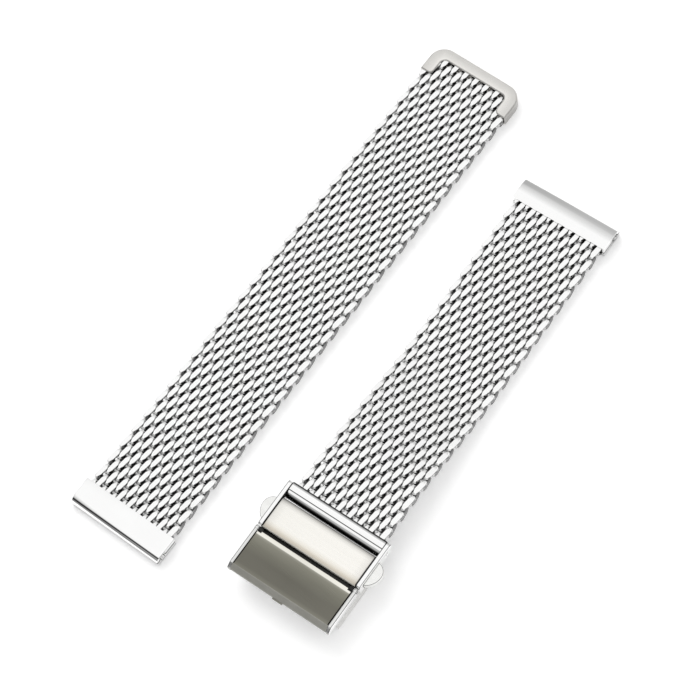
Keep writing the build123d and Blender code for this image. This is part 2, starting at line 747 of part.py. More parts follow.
# Clasp
short_half["ferrule"] = ferrule()
short_half["spring_bar_tube"] = spring_bar_tube()
tip_end = cheek_outer - SIDE_CLEARANCE
right_tip = pin(ferrule_axis_y, FERRULE_AXIS_Z, BAR_TIP_RADIUS, tip_end - BAR_TIP_LENGTH, tip_end)
short_half["spring_bar_tip_right"] = right_tip
short_half["spring_bar_tip_left"] = right_tip.mirror(Plane.YZ)
short_half["clasp_cover"] = clasp_cover()
short_half["cover_panel"] = cover_panel()
short_half["flip_lock"] = flip_lock()
right_flip_pin = pin(flip_axis_y, flip_axis_z, FLIP_PIN_RADIUS, rear_inner, tip_end)
short_half["flip_pin_right"] = right_flip_pin
short_half["flip_pin_left"] = right_flip_pin.mirror(Plane.YZ)
short_half["cover_hinge_pin"] = pin(
    COVER_HINGE_Y, COVER_HINGE_Z, LEAF_PIN_RADIUS, -rear_outer, rear_outer
)
short_half["middle_leaf"] = middle_leaf()
short_half["leaf_hinge_pin"] = pin(
    leaf_hinge_y, LEAF_HINGE_Z, LEAF_PIN_RADIUS, -neck_half, neck_half
)
short_half["base_leaf"] = base_leaf()
short_half["clamp_lever"] = clamp_lever()
short_half["clamp_lever_pin"] = pin(
    lever_axis_y, LEVER_KNUCKLE_RADIUS, LEVER_PIN_RADIUS, -rail_outer, rail_outer
)
short_half["button_right"] = button()
short_half["button_left"] = button().mirror(Plane.YZ)

# Both halves side by side, with the middle of their outline at the origin
short_home = Location((SHORT_SHIFT_X, SHORT_SHIFT_Y, 0), (0, 0, SHORT_TURN))
band = dict(long_half)
band.update((name, piece.moved(short_home)) for name, piece in short_half.items())
box = Compound(children=[piece.moved(Location()) for piece in band.values()]).bounding_box()
home = Location((-box.center().X, -box.center().Y, -box.min.Z))
os.makedirs("parts", exist_ok=True)
for name, piece in band.items():
    part = piece.moved(home)
    part.label = name
    export_step(part, f"parts/{name}.step")
print("size", box.size, "origin shift", home.position)
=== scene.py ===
# %% [markdown]
# # Milanese mesh band
# A watch band woven from flattened steel wire, in two halves, with a folding clasp.
# The solids come from the construction model, true to size and in metres.
# This notebook weaves the mesh coil by coil, gives every piece its finish, and lights the pair
# for a picture from above.

# %% Load the solids
import bpy
import bmesh
import json
from math import cos, radians, sin
from mathutils import Matrix, Vector


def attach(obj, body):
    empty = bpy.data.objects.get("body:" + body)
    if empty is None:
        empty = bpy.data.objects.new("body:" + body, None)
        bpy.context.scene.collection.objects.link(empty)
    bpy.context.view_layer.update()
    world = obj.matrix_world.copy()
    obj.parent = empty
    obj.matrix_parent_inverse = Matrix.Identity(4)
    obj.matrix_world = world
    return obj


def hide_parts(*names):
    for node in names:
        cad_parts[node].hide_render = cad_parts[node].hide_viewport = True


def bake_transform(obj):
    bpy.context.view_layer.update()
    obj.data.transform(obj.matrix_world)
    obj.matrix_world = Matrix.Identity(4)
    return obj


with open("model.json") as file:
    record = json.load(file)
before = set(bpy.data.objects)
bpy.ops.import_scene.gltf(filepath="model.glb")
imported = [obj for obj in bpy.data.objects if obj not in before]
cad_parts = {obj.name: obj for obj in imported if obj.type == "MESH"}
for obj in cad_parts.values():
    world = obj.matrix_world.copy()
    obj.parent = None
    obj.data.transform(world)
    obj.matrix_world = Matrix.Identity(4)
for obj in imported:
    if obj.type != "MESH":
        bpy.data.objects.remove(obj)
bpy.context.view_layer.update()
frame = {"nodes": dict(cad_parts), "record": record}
nodes = frame["nodes"]
print("solids loaded:", len(nodes))

# %% [markdown]
# Sizes are easier to read in millimetres and in each half's own frame: Y runs along the band,
# X across it, Z up. Two small functions take such a point into the scene, where the long half
# only shifts and the short half also turns a little, the way the pair was laid down.

# %% Places
MM = 0.001
HOME = Vector((-19.4363, -61.3, 0.0))
SHORT_OFFSET = Vector((36.25, 7.05, 0.0))
SHORT_TURN = radians(1.66)
LONG = Matrix.Scale(MM, 4) @ Matrix.Translation(HOME)
SHORT = LONG @ Matrix.Translation(SHORT_OFFSET) @ Matrix.Rotation(SHORT_TURN, 4, "Z")


def long_point(x, y, z):
    return LONG @ Vector((x, y, z))


def short_point(x, y, z):
    return SHORT @ Vector((x, y, z))


print("long half starts at", tuple(round(v, 4) for v in long_point(0, 0, 0)))
print("short half starts at", tuple(round(v, 4) for v in short_point(0, 0, 0)))

# %% [markdown]
# The picture is taken with a long lens from above, a little from the end of the band, with the
# camera rolled so that the two halves run across the frame. The camera looks at a point near the
# middle of the pair.

# %% Camera
AZIMUTH, ELEVATION, ROLL = radians(-37.459), radians(66.477), radians(-16.675)
DISTANCE = 0.528759
AIM = Vector((-0.005018, -0.0036, 0.0))
FOCAL_LENGTH_IN_PIXELS, PICTURE_WIDTH = 2645.157, 700
SENSOR_WIDTH = 36.0

back = Vector((cos(AZIMUTH) * cos(ELEVATION), sin(AZIMUTH) * cos(ELEVATION), sin(ELEVATION)))
level_right = Vector((-sin(AZIMUTH), cos(AZIMUTH), 0.0))
level_up = back.cross(level_right)
right = level_right * cos(ROLL) + level_up * sin(ROLL)
up = level_up * cos(ROLL) - level_right * sin(ROLL)
camera_data = bpy.data.cameras.new("camera")
camera_data.sensor_width = SENSOR_WIDTH
camera_data.lens = FOCAL_LENGTH_IN_PIXELS / PICTURE_WIDTH * SENSOR_WIDTH
camera_data.clip_start = 0.01
camera_data.clip_end = 20.0
camera = bpy.data.objects.new("camera", camera_data)
turn = Matrix((right, up, back)).transposed().to_4x4()
camera.matrix_world = Matrix.Translation(AIM + back * DISTANCE) @ turn
bpy.context.collection.objects.link(camera)
bpy.context.scene.camera = camera
print("lens", round(camera_data.lens, 2), "mm at", round(DISTANCE, 3), "m")

# %% [markdown]
# The sky, the floor and every finish are node trees. Each tree could be clicked together in the
# shader editor. Here a few helpers place the kinds of node that come up again and again, so that
# the later cells say only what is joined to what.

# %% Helpers for values
def link(tree, source, target):
    tree.links.new(source, target)


def feed(tree, value, socket):
    """Joins another node's output to a socket, or sets the socket to a plain value."""
    if isinstance(value, bpy.types.NodeSocket):
        link(tree, value, socket)
    else:
        socket.default_value = value


def maths(tree, operation, *values, vector=False):
    """A maths node fed with plain values or with other nodes' outputs."""
    node = tree.nodes.new("ShaderNodeVectorMath" if vector else "ShaderNodeMath")
    node.operation = operation
    for socket, value in zip(node.inputs, values):
        feed(tree, value, socket)
    return node.outputs[0]


def map_range(tree, value, low, high, to=(0.0, 1.0), smooth=False):
    """Turns values from low to high into values from to[0] to to[1]."""
    node = tree.nodes.new("ShaderNodeMapRange")
    node.interpolation_type = "SMOOTHSTEP" if smooth else "LINEAR"
    link(tree, value, node.inputs["Value"])
    for label, plain in zip(("From Min", "From Max", "To Min", "To Max"), (low, high, *to)):
        node.inputs[label].default_value = plain
    return node.outputs["Result"]


print("value helpers:", [helper.__name__ for helper in (link, feed, maths, map_range)])


# %% Helpers for colours and directions
def ramp(tree, stops, factor):
    """The colour at a factor, from (position, grey or colour) stops."""
    node = tree.nodes.new("ShaderNodeValToRGB")
    elements = node.color_ramp.elements
    for index, (position, value) in enumerate(stops):
        stop = elements[index] if index < 2 else elements.new(position)
        stop.position = position
        stop.color = (*(value if isinstance(value, tuple) else (value, value, value)), 1.0)
    link(tree, factor, node.inputs["Fac"])
    return node.outputs["Color"]


def mixed(tree, first, second, factor=1.0, blend="MULTIPLY"):
    """Two colours multiplied by each other, or mixed in another way."""
    node = tree.nodes.new("ShaderNodeMix")
    node.data_type = "RGBA"
    node.blend_type = blend
    feed(tree, factor, node.inputs["Factor"])
    link(tree, first, node.inputs["A"])
    link(tree, second, node.inputs["B"])
    return node.outputs["Result"]


def axes_of(tree, vector):
    node = tree.nodes.new("ShaderNodeSeparateXYZ")
    link(tree, vector, node.inputs[0])
    return node.outputs


print("colour and direction helpers:", [helper.__name__ for helper in (ramp, mixed, axes_of)])

# %% [markdown]
# Polished steel shows its surroundings more than itself, so the studio is made for its
# reflections. The sky is white overhead, and a darker band low around the horizon draws the thin
# dark lines along every rounded edge. The band is darkest in front of the pair and only grey
# behind it. To the eye the sky is plain white, which Light Path's Is Camera Ray chooses.

# %% Sky
# Position 0.5 is the horizon and 1 is straight up
NEAR_SKY = [(0.0, 0.9), (0.50, 0.80), (0.53, 0.24), (0.68, 0.24), (0.76, 0.72), (0.83, 1.0)]
FAR_SKY = [(0.0, 0.9), (0.50, 0.55), (0.62, 0.55), (0.77, 0.70), (0.89, 0.90), (0.95, 1.0)]
NEAR_ENDS, FAR_STARTS = 0.2, 0.7
WHITE = (1, 1, 1, 1)

world = bpy.data.worlds.new("studio")
bpy.context.scene.world = world
world.use_nodes = True
tree = world.node_tree
tree.nodes.clear()
direction = axes_of(tree, tree.nodes.new("ShaderNodeTexCoord").outputs["Generated"])
height = map_range(tree, direction["Z"], -1.0, 1.0)
away = map_range(tree, direction["Y"], NEAR_ENDS, FAR_STARTS, smooth=True)
lighting = tree.nodes.new("ShaderNodeBackground")
sky = mixed(tree, ramp(tree, NEAR_SKY, height), ramp(tree, FAR_SKY, height), away, "MIX")
link(tree, sky, lighting.inputs["Color"])
seen = tree.nodes.new("ShaderNodeBackground")
seen.inputs["Color"].default_value = WHITE
choice = tree.nodes.new("ShaderNodeMixShader")
link(tree, tree.nodes.new("ShaderNodeLightPath").outputs["Is Camera Ray"], choice.inputs["Fac"])
link(tree, lighting.outputs[0], choice.inputs[1])
link(tree, seen.outputs[0], choice.inputs[2])
link(tree, choice.outputs[0], tree.nodes.new("ShaderNodeOutputWorld").inputs["Surface"])
bpy.context.scene.view_settings.view_transform = "Standard"
print("nodes in the sky:", len(tree.nodes))

# %% [markdown]
# The pair lies on a pale table. A backdrop of pure light would show no shadow, so the floor is a
# real plane with a matt white finish. It also glows a little, which takes it to white without
# more light on the steel.

# %% Floor
FLOOR_SIZE = 6.0
FLOOR_COLOUR = (0.90, 0.90, 0.90, 1)
# Only the eye and reflections see this glow
FLOOR_GLOW = 0.25

bpy.ops.mesh.primitive_plane_add(size=FLOOR_SIZE, location=(0, 0, 0))
floor = bpy.context.object
floor.name = "floor"
floor_finish = bpy.data.materials.new("floor_white")
floor_finish.use_nodes = True
tree = floor_finish.node_tree
surface = tree.nodes["Principled BSDF"]
surface.inputs["Base Color"].default_value = FLOOR_COLOUR
surface.inputs["Roughness"].default_value = 0.9
surface.inputs["Specular IOR Level"].default_value = 0.0
glow = tree.nodes.new("ShaderNodeEmission")
glow.inputs["Color"].default_value = WHITE
rays = tree.nodes.new("ShaderNodeLightPath").outputs
direct = maths(tree, "ADD", rays["Is Camera Ray"], rays["Is Glossy Ray"])
link(tree, maths(tree, "MULTIPLY", direct, FLOOR_GLOW), glow.inputs["Strength"])
both = tree.nodes.new("ShaderNodeAddShader")
link(tree, surface.outputs[0], both.inputs[0])
link(tree, glow.outputs[0], both.inputs[1])
link(tree, both.outputs[0], tree.nodes["Material Output"].inputs["Surface"])
floor.data.materials.append(floor_finish)
print("floor", FLOOR_SIZE, "m wide")

# %% [markdown]
# The sky gives most of the light. One wide lamp up on the left adds the soft shadows below and
# to the right of the pair.

# %% Lamp
LAMP_PLACE = Vector((-0.70, 0.45, 0.95))
lamp_data = bpy.data.lights.new("key", "AREA")
lamp_data.shape = "DISK"
lamp_data.size = 1.0
lamp_data.energy = 5.2
lamp = bpy.data.objects.new("key", lamp_data)
lamp.location = LAMP_PLACE
lamp.rotation_euler = (-LAMP_PLACE).to_track_quat("-Z", "Y").to_euler()
bpy.context.collection.objects.link(lamp)
# Its own disc would burn a white patch into every flat polished face
lamp.visible_glossy = False
print("lamp", round(LAMP_PLACE.length, 2), "m away,", lamp_data.energy, "W")

# %% [markdown]
# Every finish on the band is bare steel. What tells the pieces apart is how they were finished:
# tumbled wire, mirror polish, fine satin, and long brush strokes. Two shared groups carry the
# small marks: `hairlines` stretches noise along one axis into brush strokes, and `use_marks`
# gives faint smudges and short scratches. Each finish places them with its own values.

# %% Helpers for groups
FLOAT, VECTOR = "NodeSocketFloat", "NodeSocketVector"


def new_group(name, inputs, outputs):
    """An empty group with its inputs, (label, kind, value), and its outputs, (label, kind)."""
    group = bpy.data.node_groups.new(name, "ShaderNodeTree")
    for label, kind, value in inputs:
        socket = group.interface.new_socket(label, in_out="INPUT", socket_type=kind)
        socket.default_value = value
    for label, kind in outputs:
        group.interface.new_socket(label, in_out="OUTPUT", socket_type=kind)
    source = group.nodes.new("NodeGroupInput").outputs
    target = group.nodes.new("NodeGroupOutput").inputs
    return group, source, target


def object_place(tree):
    return tree.nodes.new("ShaderNodeTexCoord").outputs["Object"]


def noise(tree, vector, scale, detail):
    node = tree.nodes.new("ShaderNodeTexNoise")
    link(tree, vector, node.inputs["Vector"])
    feed(tree, scale, node.inputs["Scale"])
    node.inputs["Detail"].default_value = detail
    return node.outputs["Fac"]


print("socket kinds:", FLOAT, VECTOR)

# %% Group of brush strokes
BAND_SCALE = 0.12
hairlines, source, target = new_group(
    "hairlines",
    [("Stroke scale", VECTOR, (1.0, 1.0, 1.0)), ("Turn", VECTOR, (0.0, 0.0, 0.0))],
    [("Strokes", FLOAT), ("Bands", FLOAT)])
turned = hairlines.nodes.new("ShaderNodeMapping")
link(hairlines, object_place(hairlines), turned.inputs["Vector"])
link(hairlines, source["Turn"], turned.inputs["Rotation"])
scaled = maths(hairlines, "MULTIPLY", turned.outputs[0], source["Stroke scale"], vector=True)
link(hairlines, noise(hairlines, scaled, 1.0, 3.0), target["Strokes"])
link(hairlines, noise(hairlines, scaled, BAND_SCALE, 1.0), target["Bands"])
print("group:", hairlines.name)

# %% Group of use marks
SCRATCH_WIDTH = 0.012
use_marks, source, target = new_group(
    "use_marks",
    [("Smudge scale", FLOAT, 160.0), ("Scratch scale", FLOAT, 900.0)],
    [("Smudges", FLOAT), ("Scratches", FLOAT)])
smudges = noise(use_marks, object_place(use_marks), source["Smudge scale"], 4.0)
scratch = use_marks.nodes.new("ShaderNodeTexVoronoi")
scratch.feature = "DISTANCE_TO_EDGE"
link(use_marks, object_place(use_marks), scratch.inputs["Vector"])
link(use_marks, source["Scratch scale"], scratch.inputs["Scale"])
thin = ramp(use_marks, [(0.0, 1.0), (SCRATCH_WIDTH, 0.0)], scratch.outputs["Distance"])
link(use_marks, smudges, target["Smudges"])
link(use_marks, thin, target["Scratches"])
print("group:", use_marks.name)

# %% [markdown]
# Two more groups say where a point lies, so that a finish can draw a seam or a bright edge at its
# true place. They read Object coordinates, which stay with the piece when it moves, and need no
# picture or unwrapping. `clasp_place` gives the millimetres from the clasp's middle line and
# along it. `rim_distance` gives how far a point lies inside a rectangle with round corners.

# %% Group of the place on the clasp
clasp_place, source, target = new_group(
    "clasp_place",
    [("Unit", FLOAT, 1000.0)],
    [("Across", FLOAT), ("Along", FLOAT)])
CLASP_START = short_point(0, 0, 0)
from_start = maths(clasp_place, "SUBTRACT", object_place(clasp_place), CLASP_START, vector=True)
straight = clasp_place.nodes.new("ShaderNodeVectorRotate")
straight.rotation_type = "Z_AXIS"
straight.inputs["Angle"].default_value = -SHORT_TURN
link(clasp_place, from_start, straight.inputs["Vector"])
axes = axes_of(clasp_place, straight.outputs[0])
for label, axis in (("Across", "X"), ("Along", "Y")):
    size = maths(clasp_place, "ABSOLUTE", axes[axis])
    link(clasp_place, maths(clasp_place, "MULTIPLY", size, source["Unit"]), target[label])
print("group:", clasp_place.name)

# %% Group of the distance from a rounded outline
rim_distance, source, target = new_group(
    "rim_distance",
    [("Middle", VECTOR, (0.0, 0.0, 0.0)), ("Half size", VECTOR, (0.01, 0.01, 1.0)),
     ("Corner", FLOAT, 0.003)],
    [("Distance", FLOAT)])
offset = maths(rim_distance, "SUBTRACT", object_place(rim_distance), source["Middle"], vector=True)
offset = maths(rim_distance, "ABSOLUTE", offset, vector=True)
axes = axes_of(rim_distance, maths(rim_distance, "SUBTRACT", offset, source["Half size"], vector=True))
over_x = maths(rim_distance, "ADD", axes["X"], source["Corner"])
over_y = maths(rim_distance, "ADD", axes["Y"], source["Corner"])
past_x = maths(rim_distance, "MAXIMUM", over_x, 0.0)
past_y = maths(rim_distance, "MAXIMUM", over_y, 0.0)
squares = [maths(rim_distance, "MULTIPLY", past, past) for past in (past_x, past_y)]
past = maths(rim_distance, "SQRT", maths(rim_distance, "ADD", *squares))
short_of = maths(rim_distance, "MINIMUM", maths(rim_distance, "MAXIMUM", over_x, over_y), 0.0)
beyond = maths(rim_distance, "ADD", past, short_of)
link(rim_distance, maths(rim_distance, "SUBTRACT", source["Corner"], beyond), target["Distance"])
print("groups:", [group.name for group in bpy.data.node_groups])

# %% [markdown]
# One recipe makes all the steels. A steel has a base colour that smudges or strokes shift a
# little, a roughness that they vary, and a bump from them. Most finishes differ only in those
# values, so a function with names for them is clearer than a tree for each.

# %% Steel recipe
STEEL_IOR = 2.2
# The part of a noise's range that holds nearly all of its values
NOISE_RANGE = (0.3, 0.7)
SCRATCH_ROUGHNESS = 0.08
BUMP_HEIGHT = 0.00002


def placed(tree, group, values=None):
    """A shared group in a finish, with the finish's own values."""
    node = tree.nodes.new("ShaderNodeGroup")
    node.node_tree = group
    for label, value in (values or {}).items():
        node.inputs[label].default_value = value
    return node.outputs


def steel(name, colour, roughness, spread=0.05, strokes=None, turn=(0, 0, 0), relief=0.0, tone=0.06,
          smudges=160.0):
    """A steel finish; strokes is how many brush marks there are per metre along X, Y and Z."""
    finish = bpy.data.materials.new(name)
    finish.use_nodes = True
    tree = finish.node_tree
    surface = tree.nodes["Principled BSDF"]
    surface.inputs["Metallic"].default_value = 1.0
    surface.inputs["IOR"].default_value = STEEL_IOR
    marks = placed(tree, use_marks, {"Smudge scale": smudges})
    patches = fine = marks["Smudges"]
    if strokes:
        lines = placed(tree, hairlines, {"Stroke scale": strokes, "Turn": turn})
        patches, fine = lines["Bands"], lines["Strokes"]
    low = tuple(max(0.0, c - tone) for c in colour)
    high = tuple(min(1.0, c + tone) for c in colour)
    link(tree, ramp(tree, list(zip(NOISE_RANGE, (low, high))), patches), surface.inputs["Base Color"])
    rough = map_range(tree, fine, *NOISE_RANGE, to=(max(0.02, roughness - spread), roughness + spread))
    worn = maths(tree, "MULTIPLY_ADD", marks["Scratches"], SCRATCH_ROUGHNESS, rough)
    link(tree, worn, surface.inputs["Roughness"])
    if relief:
        bump = tree.nodes.new("ShaderNodeBump")
        bump.inputs["Strength"].default_value = relief
        bump.inputs["Distance"].default_value = BUMP_HEIGHT
        link(tree, fine, bump.inputs["Height"])
        link(tree, bump.outputs["Normal"], surface.inputs["Normal"])
    return finish


MIRROR = (0.965, 0.965, 0.96)
polished = steel("polished_steel", MIRROR, 0.07, spread=0.03, tone=0.012, relief=0.03)
print("first finish:", polished.name)

# %% [markdown]
# The wire of the mesh also reads how deep a point lies in the weave, a value that is stored on
# its vertices when it is woven. The wire's colour darkens with it as painted shade, the shade
# that falls into the crevices of the weave. On the real band the turned ends of the wire look
# greyer than its rolled flats, so a second value marks them, and they get less of the mirror.

# %% Wire
WIRE_PAINTED_SHADE = [(0.0, 1.0), (0.30, 0.80), (0.55, 0.32), (0.80, 0.06), (1.0, 0.02)]
LIP_MIRROR = [(0.0, 1.0), (1.0, 0.12)]
DEPTH_ROUGHNESS = 0.25


def attribute(tree, name):
    node = tree.nodes.new("ShaderNodeAttribute")
    node.attribute_name = name
    return node.outputs["Fac"]


def source_of(socket):
    return socket.links[0].from_socket


wire = steel("mesh_wire", (0.96, 0.96, 0.955), 0.12, tone=0.02, smudges=90.0)
tree = wire.node_tree
sockets = tree.nodes["Principled BSDF"].inputs
depth = attribute(tree, "depth")
# Painted shade: the wire's colour darkens with its depth in the weave
dark = mixed(tree, source_of(sockets["Base Color"]), ramp(tree, WIRE_PAINTED_SHADE, depth))
rough = maths(tree, "MULTIPLY_ADD", depth, DEPTH_ROUGHNESS, source_of(sockets["Roughness"]))
link(tree, dark, sockets["Base Color"])
link(tree, rough, sockets["Roughness"])
link(tree, ramp(tree, LIP_MIRROR, attribute(tree, "lip")), sockets["Metallic"])
print("nodes in the wire:", len(tree.nodes))

# %% [markdown]
# The clasp's parts carry painted shade and painted highlights that belong to a place: the dark of a
# narrow seam, the bright line of a broken edge, the grey where a face rounds away. They are painted
# as ramps over the millimetres from `clasp_place`, because a ramp stays sharp at any size, which a
# picture doesn't.

# %% Shades by place
CLASP_SIDE, CLASP_END = 12.5, 21.5


def tinted(finish, value, low, high, stops):
    """Multiplies a finish's colour by a ramp of shades, given at values from low to high."""
    tree = finish.node_tree
    shades = [((at - low) / (high - low), shade) for at, shade in stops]
    colour = tree.nodes["Principled BSDF"].inputs["Base Color"]
    shade = ramp(tree, shades, map_range(tree, value, low, high))
    link(tree, mixed(tree, source_of(colour), shade), colour)


def on_clasp(finish, across=None, along=None):
    """Shades a finish by millimetres across the clasp from its middle line, and along it."""
    place = placed(finish.node_tree, clasp_place)
    if across:
        tinted(finish, place["Across"], 0.0, CLASP_SIDE, across)
    if along:
        tinted(finish, place["Along"], 0.0, CLASP_END, along)


# The cheeks are mirrors with a painted dark line of shade along their inner and outer edges
cheek_steel = steel("cheek_steel", MIRROR, 0.10, tone=0.012)
on_clasp(cheek_steel, across=[(0, 0.04), (11.22, 0.04), (11.28, 1), (11.88, 1), (11.94, 0.3),
                              (12.5, 0.3)])
print("shaded by place:", cheek_steel.name)

# %% Buttons and panel
button_steel = steel("satin_buttons", (0.90, 0.90, 0.88), 0.26, tone=0.03, strokes=(400, 9000, 9000),
                     relief=0.1)
# Painted shade: a dark line along each button's inner edge, where it comes out of the cheek
on_clasp(button_steel, across=[(0, 0.10), (11.98, 0.10), (12.05, 0.45), (12.12, 0.85), (12.25, 1),
                               (12.5, 1)])
panel_steel = steel("brushed_panel", (0.955, 0.935, 0.885), 0.28, tone=0.012, strokes=(260, 14000, 6000),
                    relief=0.1)
# Painted shade darkens the panel towards its sides and ends, with a thin painted highlight on its edge
# by the flip-lock
on_clasp(panel_steel,
         across=[(0, 1), (9.0, 1), (10.5, 0.90), (10.85, 0.78), (10.92, 0.08), (12.5, 0.08)],
         along=[(0, 0.1), (10.02, 0.12), (10.10, (0.90, 0.88, 0.84)), (10.40, (0.58, 0.55, 0.50)),
                (10.80, (0.70, 0.66, 0.60)), (11.3, (0.88, 0.86, 0.82)), (12.2, 1), (15.9, 1),
                (16.5, 0.86), (16.9, 0.60), (17.1, 0.35), (17.25, 0.12)])
# Painted light: the panel's front face gets a lighter, nearly matt finish, so it shows grey in the gap
# instead of mirroring dark
step_steel = steel("panel_edge", (0.75, 0.73, 0.66), 0.45, tone=0.03, relief=0.05)
step_steel.node_tree.nodes["Principled BSDF"].inputs["Metallic"].default_value = 0.2
print("finishes:", button_steel.name, panel_steel.name, step_steel.name)

# %% Flip-lock
flip_steel = steel("brushed_flip_lock", (0.96, 0.94, 0.85), 0.32, tone=0.03, strokes=(120, 2500, 2500),
                   turn=(0, 0, radians(8)), relief=0.1)
# Painted shade darkens the plate, with a painted highlight along its hinge edge and dark lines of shade
# at its sides
on_clasp(flip_steel,
         across=[(0, 0.92), (5.0, 0.95), (10.0, 1), (11.06, 1.0), (11.12, 0.03), (12.5, 0.03)],
         along=[(0, (0.24, 0.24, 0.23)), (1.0, (0.26, 0.26, 0.24)), (2.0, (0.185, 0.183, 0.17)),
                (4.5, (0.175, 0.173, 0.16)), (6.4, (0.22, 0.22, 0.20)), (7.9, (0.285, 0.284, 0.26)),
                (8.38, (0.38, 0.38, 0.36)), (8.50, (0.98, 0.98, 1.0)), (9.2, 1), (21.5, 1)])
flange_steel = steel("flange_steel", (0.90, 0.90, 0.885), 0.16, tone=0.02)
# Painted shade: a dark line along each edge of the flanges
on_clasp(flange_steel, across=[(0, 0.1), (11.36, 0.1), (11.42, 0.80), (11.86, 0.90), (11.93, 0.3),
                               (12.5, 0.3)])
# Painted shade: the lip that turns down at the flip-lock's end gets a grey, half-matt finish in place of
# mirror
shaded_lip_steel = steel("lip_painted_shade", (0.31, 0.305, 0.27), 0.45, tone=0.03, relief=0.05)
shaded_lip_steel.node_tree.nodes["Principled BSDF"].inputs["Metallic"].default_value = 0.45
print("finishes:", flip_steel.name, flange_steel.name, shaded_lip_steel.name)

# %% Ferrule, deck, seams and hidden parts
ferrule_steel = steel("ferrule_steel", MIRROR, 0.08, spread=0.03, tone=0.012, relief=0.03)
# Painted shade: dark lines at both ends and in the fold, and grey where the ferrule bevels and rounds
# down
on_clasp(ferrule_steel,
         along=[(0, 0.3), (17.7, 0.10), (18.1, 0.32), (18.45, 0.55), (18.55, 0.38), (18.68, 0.95),
                (19.08, 1), (19.13, 0.06), (19.24, 0.06), (19.29, 1), (20.28, 1), (20.42, 0.60),
                (20.62, 0.45), (20.68, 0.03), (21.5, 0.03)])
# The deck is plain steel under the flip-lock, with painted shade in the two gaps beside the panel
deck_steel = steel("deck_steel", (0.78, 0.775, 0.76), 0.35, strokes=(300, 7000, 7000), relief=0.1)
on_clasp(deck_steel, along=[(0, 1), (8.85, 1), (9.1, 0.05), (10.45, 0.05), (10.6, 0.7), (17.0, 0.7),
                            (17.2, 0.05), (21.5, 0.05)])
# Painted shade: a dark finish that draws the buttons' outlines on their bevels
outline_steel = steel("edge_outline", (0.11, 0.11, 0.105), 0.25, tone=0.02)
seam_shade = steel("seam_shade", (0.045, 0.045, 0.042), 0.55, tone=0.02)
leaf_steel = steel("leaf_steel", (0.74, 0.735, 0.72), 0.26, strokes=(300, 7000, 7000), relief=0.1)
pin_steel = steel("pin_steel", (0.70, 0.70, 0.69), 0.22, strokes=(9000, 300, 300), relief=0.1)
LEAF_PARTS = ("middle_leaf", "base_leaf", "clamp_lever")
for name, node in nodes.items():
    node.data.materials.clear()
    finish = leaf_steel if name in LEAF_PARTS else wire if "mesh" in name else pin_steel
    node.data.materials.append(finish)
print("finishes:", [finish.name for finish in bpy.data.materials if finish.users])

# %% [markdown]
# An end piece is one sheet folded round a bore and over the mesh, so its front edge shows the
# layers and the seam between them as lines at steady heights. The finest line is an eighth of a
# millimetre high. Grooves like that would need many small faces, so a ramp over the height paints
# their shade instead, and a painted reflection of the shadowed floor in front darkens the foot.

# %% Folded sheet
FOLD_HEIGHT = 3.2
SEAM_AND_FOOT_SHADE = [(0.0, 0.4), (0.5, 0.5), (0.65, 0.9), (1.08, 0.95), (1.15, 0.06), (1.58, 0.06), (1.66, 1)]
UPPER_LINE_SHADE = [(2.56, 1), (2.60, 0.05), (2.73, 0.05), (2.79, 0.9), (2.95, 1), (3.2, 1)]
# The nose of the short half leans away from the light, so its upper side fades to grey
NOSE_START, NOSE_END = 90.0, 102.0
NOSE = [(90.0, 1.0), (97.5, 1.0), (98.6, 0.76), (99.4, 0.64), (100.0, 0.76), (100.5, 0.95), (102.0, 1.0)]


def folded_steel(name, layers):
    finish = steel(name, MIRROR, 0.07, spread=0.03, tone=0.012, relief=0.03)
    tree = finish.node_tree
    height = axes_of(tree, object_place(tree))["Z"]
    # Painted shade of the grooves and the foot, by height
    tinted(finish, height, 0.0, FOLD_HEIGHT * MM, [(at * MM, shade) for at, shade in layers])
    return finish


folded = folded_steel("folded_steel", SEAM_AND_FOOT_SHADE + UPPER_LINE_SHADE)
folded_away = folded_steel("folded_steel_away", SEAM_AND_FOOT_SHADE + [(3.2, 1)])
along = placed(folded_away.node_tree, clasp_place)["Along"]
tinted(folded_away, along, NOSE_START, NOSE_END, NOSE)
print("end piece finishes:", folded.name, folded_away.name)

# %% [markdown]
# The cap is satin, not mirror, and painted shading makes its rounded bar paler towards the mesh
# and darker at its outer rim. `rim_distance` follows the cap's own outline round its corners, so
# the pale band keeps one width.

# %% Satin with painted shading, paler towards the inside of the cap
CAP_MIDDLE = long_point(0, 112.6, 0)
CAP_HALF_SIZE = (0.0107, 0.0100, 1.0)
CAP_CORNER_RADIUS = 0.0034
BAR_WIDTH = 2.7
CROWN_SHADE = [(0.0, 0.55), (0.14, 0.85), (0.9, 0.88), (2.0, 1.0), (2.6, 1.12), (2.7, 1.12)]

satin = steel("satin_cap", (0.80, 0.785, 0.755), 0.30, tone=0.02, strokes=(700, 700, 9000), relief=0.05)
outline = {"Middle": CAP_MIDDLE, "Half size": CAP_HALF_SIZE, "Corner": CAP_CORNER_RADIUS}
inside = placed(satin.node_tree, rim_distance, outline)["Distance"]
# Painted shading of the rounded bar: darker at the outer rim, paler inwards
tinted(satin, inside, 0.0, BAR_WIDTH * MM, [(at * MM, shade) for at, shade in CROWN_SHADE])
print("cap finish:", satin.name)

# %% [markdown]
# The clasp, the end pieces and the cap are stamped and tumbled, so no edge on them is knife
# sharp. They could be modelled again from primitives, but their solids already have the true
# shapes. So a copy of each solid has its facets merged and a narrow bevel run along its edges,
# and the bevel catches the light as a thin line. Faces are then given other finishes by their
# place, such as the painted shade of a narrow seam.

# %% Dressing a solid
BODIES = frame["record"]["behaviour"]["bodies"]
BODY_OF = {node: body for body, members in BODIES.items() for node in members}
MERGE_DISTANCE = 0.000002
FLAT_ANGLE, EDGE_ANGLE, SMOOTH_ANGLE = radians(1.0), radians(32), radians(40)


def pick(*pieces):
    """Selects only these pieces, the first one being active."""
    for item in bpy.context.selected_objects:
        item.select_set(False)
    for piece in pieces:
        piece.select_set(True)
    bpy.context.view_layer.objects.active = pieces[0]


